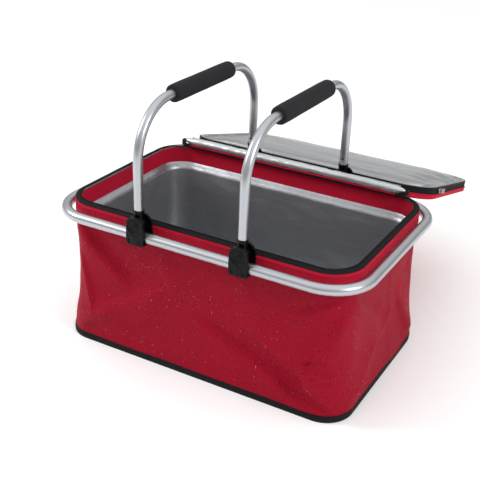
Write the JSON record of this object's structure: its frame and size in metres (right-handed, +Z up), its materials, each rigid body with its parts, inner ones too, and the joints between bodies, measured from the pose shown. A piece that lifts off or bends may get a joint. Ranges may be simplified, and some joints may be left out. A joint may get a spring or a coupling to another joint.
{
  "type": "insulated cooler bag",
  "caption": "Foldable insulated basket bag with a tubular aluminium rim, padded swing handles and a zip lid standing open behind it.",
  "frame": {"origin": "centre of the bag's underside, on the surface it stands on", "axes": "+X along the long side to the right, +Y from the front to the back where the lid is hinged, +Z up"},
  "size_m": [0.479, 0.5894, 0.3894],
  "materials": {
    "base_sole": "fine plain-weave polyester, faint sheen",
    "cover_front": "fine plain-weave polyester, faint sheen",
    "cover_back": "fine plain-weave polyester, faint sheen",
    "rim_band": "fine plain-weave polyester, faint sheen",
    "hinge_strip": "fine plain-weave polyester, faint sheen",
    "lid_cover": "fine plain-weave polyester, faint sheen",
    "base_binding": "black woven tape",
    "rim_zip_tape": "black woven tape",
    "lid_zip_tape": "black woven tape",
    "base_board": "stiff plastic sheet",
    "insulation_foam": "closed-cell foam sheet",
    "lid_foam": "closed-cell foam sheet",
    "inner_lining": "aluminised film on thin wadding, silver",
    "lid_foil": "aluminised film on thin wadding, silver",
    "hinge_roll": "aluminised film on thin wadding, silver",
    "rim_ring": "satin anodised tube",
    "handle_tube_left": "satin anodised tube",
    "handle_tube_right": "satin anodised tube",
    "handle_grip_left": "matte charcoal foam",
    "handle_grip_right": "matte charcoal foam",
    "bracket_outer_front_left": "moulded black nylon",
    "bracket_inner_front_left": "moulded black nylon",
    "bracket_outer_front_right": "moulded black nylon",
    "bracket_inner_front_right": "moulded black nylon",
    "bracket_outer_back_left": "moulded black nylon",
    "bracket_inner_back_left": "moulded black nylon",
    "bracket_outer_back_right": "moulded black nylon",
    "bracket_inner_back_right": "moulded black nylon",
    "pivot_pin_front_left": "plain steel pin",
    "pivot_pin_front_right": "plain steel pin",
    "pivot_pin_back_left": "plain steel pin",
    "pivot_pin_back_right": "plain steel pin",
    "leg_socket_front_left": "moulded black nylon",
    "leg_socket_front_right": "moulded black nylon",
    "leg_socket_back_left": "moulded black nylon",
    "leg_socket_back_right": "moulded black nylon",
    "leg_button_front_left": "moulded black nylon",
    "leg_button_front_right": "moulded black nylon",
    "leg_button_back_left": "moulded black nylon",
    "leg_button_back_right": "moulded black nylon",
    "zip_slider_left": "black coated",
    "zip_slider_right": "black coated",
    "zip_tab_left": "plain zinc alloy",
    "zip_tab_right": "plain zinc alloy"
  },
  "bodies": {
    "base": {"base_sole": "base_sole", "base_board": "base_board", "base_binding": "base_binding", "cover_front": "cover_front", "cover_back": "cover_back", "insulation_foam": "insulation_foam", "inner_lining": "inner_lining"},
    "frame": {"rim_ring": "rim_ring", "rim_band": "rim_band", "rim_zip_tape": "rim_zip_tape", "hinge_roll": "hinge_roll", "hinge_strip": "hinge_strip", "bracket_outer_front_left": "bracket_outer_front_left", "bracket_inner_front_left": "bracket_inner_front_left", "bracket_outer_front_right": "bracket_outer_front_right", "bracket_inner_front_right": "bracket_inner_front_right", "bracket_outer_back_left": "bracket_outer_back_left", "bracket_inner_back_left": "bracket_inner_back_left", "bracket_outer_back_right": "bracket_outer_back_right", "bracket_inner_back_right": "bracket_inner_back_right", "pivot_pin_front_left": "pivot_pin_front_left", "pivot_pin_front_right": "pivot_pin_front_right", "pivot_pin_back_left": "pivot_pin_back_left", "pivot_pin_back_right": "pivot_pin_back_right"},
    "handle_left": {"handle_tube_left": "handle_tube_left", "handle_grip_left": "handle_grip_left", "leg_socket_front_left": "leg_socket_front_left", "leg_socket_back_left": "leg_socket_back_left", "leg_button_front_left": "leg_button_front_left", "leg_button_back_left": "leg_button_back_left"},
    "handle_right": {"handle_tube_right": "handle_tube_right", "handle_grip_right": "handle_grip_right", "leg_socket_front_right": "leg_socket_front_right", "leg_socket_back_right": "leg_socket_back_right", "leg_button_front_right": "leg_button_front_right", "leg_button_back_right": "leg_button_back_right"},
    "lid": {"lid_cover": "lid_cover", "lid_foam": "lid_foam", "lid_foil": "lid_foil", "lid_zip_tape": "lid_zip_tape"},
    "slider_left": {"zip_slider_left": "zip_slider_left"},
    "tab_left": {"zip_tab_left": "zip_tab_left"},
    "slider_right": {"zip_slider_right": "zip_slider_right"},
    "tab_right": {"zip_tab_right": "zip_tab_right"}
  },
  "joints": [
    {"name": "body_collapse", "type": "slide", "parent": "base", "child": "frame", "axis": [0, 0, -1], "range_m": [0, 0.13], "deforming": ["cover_front", "cover_back", "insulation_foam", "inner_lining"]},
    {"name": "handle_left_fold", "type": "hinge", "parent": "frame", "child": "handle_left", "pos_m": [-0.0787, 0, 0.2189], "axis": [0, -1, 0], "range_deg": [-22, 88]},
    {"name": "handle_right_fold", "type": "hinge", "parent": "frame", "child": "handle_right", "pos_m": [0.0787, 0, 0.2189], "axis": [0, 1, 0], "range_deg": [-22, 88]},
    {"name": "lid_swing", "type": "hinge", "parent": "frame", "child": "lid", "pos_m": [0, 0.14653, 0.22565], "axis": [1, 0, 0], "range_deg": [0, 195.5], "deforming": ["lid_cover", "lid_foam", "lid_foil", "lid_zip_tape", "hinge_strip"]},
    {"name": "zip_slider_left_travel", "type": "slide", "parent": "lid", "child": "slider_left", "axis": [0, 0.9636, -0.2672], "range_m": [0, 0.145]},
    {"name": "zip_tab_left_swing", "type": "hinge", "parent": "slider_left", "child": "tab_left", "pos_m": [-0.2139, 0.22351, 0.20187], "axis": [0, 0.2672, 0.9636], "range_deg": [0, 150]},
    {"name": "zip_slider_right_travel", "type": "slide", "parent": "lid", "child": "slider_right", "axis": [0, 0.9636, -0.2672], "range_m": [0, 0.145]},
    {"name": "zip_tab_right_swing", "type": "hinge", "parent": "slider_right", "child": "tab_right", "pos_m": [0.2139, 0.22351, 0.20187], "axis": [0, -0.2672, -0.9636], "range_deg": [0, 150]}
  ]
}
